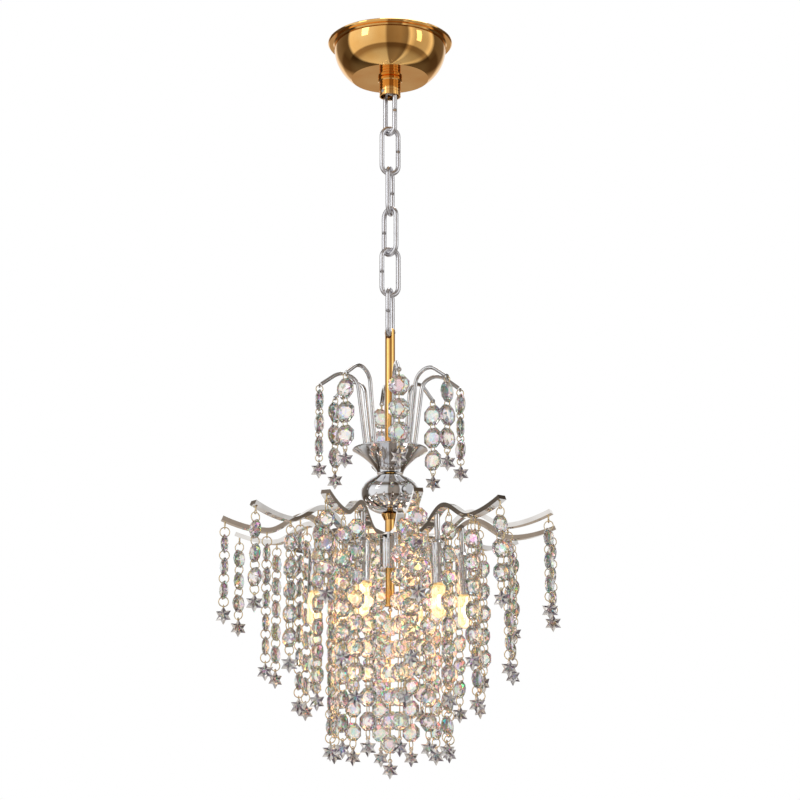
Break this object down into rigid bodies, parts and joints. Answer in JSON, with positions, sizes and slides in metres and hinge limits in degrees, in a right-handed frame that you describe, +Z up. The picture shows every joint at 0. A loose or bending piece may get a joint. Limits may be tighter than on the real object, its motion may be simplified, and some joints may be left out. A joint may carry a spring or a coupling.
{
  "type": "crystal pendant chandelier",
  "caption": "Small ceiling pendant with a bowl canopy, chain, wire plume, wavy arms, faceted bead strands with star drops and capsule lamps.",
  "frame": {"origin": "centre of the ceiling bracket's top face, in the plane of the canopy rim", "axes": "+Z up into the ceiling, the light hangs towards -Z, -Y is the front and +X is to the right"},
  "size_m": [0.2634, 0.2634, 0.6018],
  "materials": {
    "polished_gold": "mirror polished gold plate",
    "chrome": "mirror polished",
    "crystal": "clear cut crystal with an iridescent coating",
    "star_crystal": "smoky cut crystal with an iridescent coating",
    "bracket_steel": "zinc plated",
    "porcelain": "unglazed",
    "lamp_glass": "clear lamp glass, lit"
  },
  "bodies": {
    "canopy": {"canopy_shell": "polished_gold", "mounting_bracket": "bracket_steel", "nipple": "bracket_steel", "nipple_nut": "bracket_steel", "canopy_collar": "polished_gold", "link_pin": "bracket_steel"},
    "link_1": {"chain_link_1": "chrome"},
    "link_2": {"chain_link_2": "chrome"},
    "link_3": {"chain_link_3": "chrome"},
    "link_4": {"chain_link_4": "chrome"},
    "link_5": {"chain_link_5": "chrome"},
    "link_6": {"chain_link_6": "chrome"},
    "fixture": {"stem": "polished_gold", "stem_pin": "bracket_steel", "upper_cup": "chrome", "ball_body": "chrome", "set_screw": "chrome", "upper_wires": "chrome", "wire_plate": "chrome", "stem_cone": "polished_gold", "hub": "chrome", "wave_arms": "chrome", "arm_eyelets": "polished_gold", "lamp_hangers": "chrome", "socket_sleeves": "chrome", "socket_cores": "porcelain", "lower_rod": "polished_gold", "bottom_finial": "polished_gold", "second_beads": "crystal", "third_beads": "crystal", "fourth_beads": "crystal", "inner_rings": "polished_gold", "inner_stars": "star_crystal"},
    "upper_strand_1": {"upper_strand_1": "crystal"},
    "upper_strand_2": {"upper_strand_2": "crystal"},
    "upper_strand_3": {"upper_strand_3": "crystal"},
    "upper_strand_4": {"upper_strand_4": "crystal"},
    "upper_strand_5": {"upper_strand_5": "crystal"},
    "upper_strand_6": {"upper_strand_6": "crystal"},
    "upper_strand_7": {"upper_strand_7": "crystal"},
    "upper_strand_8": {"upper_strand_8": "crystal"},
    "outer_strand_1": {"outer_strand_1": "crystal"},
    "outer_strand_2": {"outer_strand_2": "crystal"},
    "outer_strand_3": {"outer_strand_3": "crystal"},
    "outer_strand_4": {"outer_strand_4": "crystal"},
    "outer_strand_5": {"outer_strand_5": "crystal"},
    "outer_strand_6": {"outer_strand_6": "crystal"},
    "outer_strand_7": {"outer_strand_7": "crystal"},
    "outer_strand_8": {"outer_strand_8": "crystal"},
    "outer_strand_9": {"outer_strand_9": "crystal"},
    "outer_strand_10": {"outer_strand_10": "crystal"},
    "outer_strand_11": {"outer_strand_11": "crystal"},
    "outer_strand_12": {"outer_strand_12": "crystal"},
    "centre_strand": {"centre_strand": "crystal"},
    "bulb_1": {"bulb_1": "lamp_glass"},
    "bulb_2": {"bulb_2": "lamp_glass"},
    "bulb_3": {"bulb_3": "lamp_glass"},
    "bulb_4": {"bulb_4": "lamp_glass"},
    "bulb_5": {"bulb_5": "lamp_glass"},
    "bulb_6": {"bulb_6": "lamp_glass"}
  },
  "joints": [
    {"name": "link_1_swing", "type": "hinge", "parent": "canopy", "child": "link_1", "pos_m": [0, 0, -0.04155], "axis": [0.7071, -0.7071, 0], "range_deg": [-9, 9]},
    {"name": "link_2_swing", "type": "hinge", "parent": "link_1", "child": "link_2", "pos_m": [0, 0, -0.08035], "axis": [0.7071, -0.7071, 0], "range_deg": [-6, 6]},
    {"name": "link_3_swing", "type": "hinge", "parent": "link_2", "child": "link_3", "pos_m": [0, 0, -0.1147], "axis": [0.9659, 0.2588, 0], "range_deg": [-8, 8]},
    {"name": "link_4_swing", "type": "hinge", "parent": "link_3", "child": "link_4", "pos_m": [0, 0, -0.14905], "axis": [0.2588, 0.9659, 0], "range_deg": [-8, 8]},
    {"name": "link_5_swing", "type": "hinge", "parent": "link_4", "child": "link_5", "pos_m": [0, 0, -0.1834], "axis": [-0.7071, 0.7071, 0], "range_deg": [-8, 8]},
    {"name": "link_6_swing", "type": "hinge", "parent": "link_5", "child": "link_6", "pos_m": [0, 0, -0.21775], "axis": [-0.9659, -0.2588, 0], "range_deg": [-8, 8]},
    {"name": "fixture_swing", "type": "hinge", "parent": "link_6", "child": "fixture", "pos_m": [0, 0, -0.249], "axis": [0.9659, -0.2588, 0], "range_deg": [-8, 8]},
    {"name": "upper_strand_1_swing", "type": "hinge", "parent": "fixture", "child": "upper_strand_1", "pos_m": [0.00685, -0.05578, -0.294], "axis": [-0.9925, -0.1219, 0], "range_deg": [-12, 20]},
    {"name": "upper_strand_2_swing", "type": "hinge", "parent": "fixture", "child": "upper_strand_2", "pos_m": [0.04429, -0.0346, -0.294], "axis": [-0.6157, -0.788, 0], "range_deg": [-12, 20]},
    {"name": "upper_strand_3_swing", "type": "hinge", "parent": "fixture", "child": "upper_strand_3", "pos_m": [0.05578, 0.00685, -0.294], "axis": [0.1219, -0.9925, 0], "range_deg": [-12, 20]},
    {"name": "upper_strand_4_swing", "type": "hinge", "parent": "fixture", "child": "upper_strand_4", "pos_m": [0.0346, 0.04429, -0.294], "axis": [0.788, -0.6157, 0], "range_deg": [-12, 20]},
    {"name": "upper_strand_5_swing", "type": "hinge", "parent": "fixture", "child": "upper_strand_5", "pos_m": [-0.00685, 0.05578, -0.294], "axis": [0.9925, 0.1219, 0], "range_deg": [-12, 20]},
    {"name": "upper_strand_6_swing", "type": "hinge", "parent": "fixture", "child": "upper_strand_6", "pos_m": [-0.04429, 0.0346, -0.294], "axis": [0.6157, 0.788, 0], "range_deg": [-12, 20]},
    {"name": "upper_strand_7_swing", "type": "hinge", "parent": "fixture", "child": "upper_strand_7", "pos_m": [-0.05578, -0.00685, -0.294], "axis": [-0.1219, 0.9925, 0], "range_deg": [-12, 20]},
    {"name": "upper_strand_8_swing", "type": "hinge", "parent": "fixture", "child": "upper_strand_8", "pos_m": [-0.0346, -0.04429, -0.294], "axis": [-0.788, 0.6157, 0], "range_deg": [-12, 20]},
    {"name": "outer_strand_1_swing", "type": "hinge", "parent": "fixture", "child": "outer_strand_1", "pos_m": [0.02021, -0.12761, -0.4107], "axis": [-0.9877, -0.1564, 0], "range_deg": [-12, 25]},
    {"name": "outer_strand_2_swing", "type": "hinge", "parent": "fixture", "child": "outer_strand_2", "pos_m": [0.08131, -0.10041, -0.4107], "axis": [-0.7771, -0.6293, 0], "range_deg": [-12, 25]},
    {"name": "outer_strand_3_swing", "type": "hinge", "parent": "fixture", "child": "outer_strand_3", "pos_m": [0.12062, -0.0463, -0.4107], "axis": [-0.3584, -0.9336, 0], "range_deg": [-12, 25]},
    {"name": "outer_strand_4_swing", "type": "hinge", "parent": "fixture", "child": "outer_strand_4", "pos_m": [0.12761, 0.02021, -0.4107], "axis": [0.1564, -0.9877, 0], "range_deg": [-12, 25]},
    {"name": "outer_strand_5_swing", "type": "hinge", "parent": "fixture", "child": "outer_strand_5", "pos_m": [0.10041, 0.08131, -0.4107], "axis": [0.6293, -0.7771, 0], "range_deg": [-12, 25]},
    {"name": "outer_strand_6_swing", "type": "hinge", "parent": "fixture", "child": "outer_strand_6", "pos_m": [0.0463, 0.12062, -0.4107], "axis": [0.9336, -0.3584, 0], "range_deg": [-12, 25]},
    {"name": "outer_strand_7_swing", "type": "hinge", "parent": "fixture", "child": "outer_strand_7", "pos_m": [-0.02021, 0.12761, -0.4107], "axis": [0.9877, 0.1564, 0], "range_deg": [-12, 25]},
    {"name": "outer_strand_8_swing", "type": "hinge", "parent": "fixture", "child": "outer_strand_8", "pos_m": [-0.08131, 0.10041, -0.4107], "axis": [0.7771, 0.6293, 0], "range_deg": [-12, 25]},
    {"name": "outer_strand_9_swing", "type": "hinge", "parent": "fixture", "child": "outer_strand_9", "pos_m": [-0.12062, 0.0463, -0.4107], "axis": [0.3584, 0.9336, 0], "range_deg": [-12, 25]},
    {"name": "outer_strand_10_swing", "type": "hinge", "parent": "fixture", "child": "outer_strand_10", "pos_m": [-0.12761, -0.02021, -0.4107], "axis": [-0.1564, 0.9877, 0], "range_deg": [-12, 25]},
    {"name": "outer_strand_11_swing", "type": "hinge", "parent": "fixture", "child": "outer_strand_11", "pos_m": [-0.10041, -0.08131, -0.4107], "axis": [-0.6293, 0.7771, 0], "range_deg": [-12, 25]},
    {"name": "outer_strand_12_swing", "type": "hinge", "parent": "fixture", "child": "outer_strand_12", "pos_m": [-0.0463, -0.12062, -0.4107], "axis": [-0.9336, 0.3584, 0], "range_deg": [-12, 25]},
    {"name": "centre_strand_swing", "type": "hinge", "parent": "fixture", "child": "centre_strand", "pos_m": [0, 0, -0.472], "axis": [-1, 0, 0], "range_deg": [-8, 8]},
    {"name": "bulb_1_pull", "type": "slide", "parent": "fixture", "child": "bulb_1", "axis": [-0.0125, -0.0326, -0.9994], "range_m": [0, 0.012]},
    {"name": "bulb_2_pull", "type": "slide", "parent": "fixture", "child": "bulb_2", "axis": [0.022, -0.0271, -0.9994], "range_m": [0, 0.012]},
    {"name": "bulb_3_pull", "type": "slide", "parent": "fixture", "child": "bulb_3", "axis": [0.0345, 0.0055, -0.9994], "range_m": [0, 0.012]},
    {"name": "bulb_4_pull", "type": "slide", "parent": "fixture", "child": "bulb_4", "axis": [0.0125, 0.0326, -0.9994], "range_m": [0, 0.012]},
    {"name": "bulb_5_pull", "type": "slide", "parent": "fixture", "child": "bulb_5", "axis": [-0.022, 0.0271, -0.9994], "range_m": [0, 0.012]},
    {"name": "bulb_6_pull", "type": "slide", "parent": "fixture", "child": "bulb_6", "axis": [-0.0345, -0.0055, -0.9994], "range_m": [0, 0.012]}
  ]
}
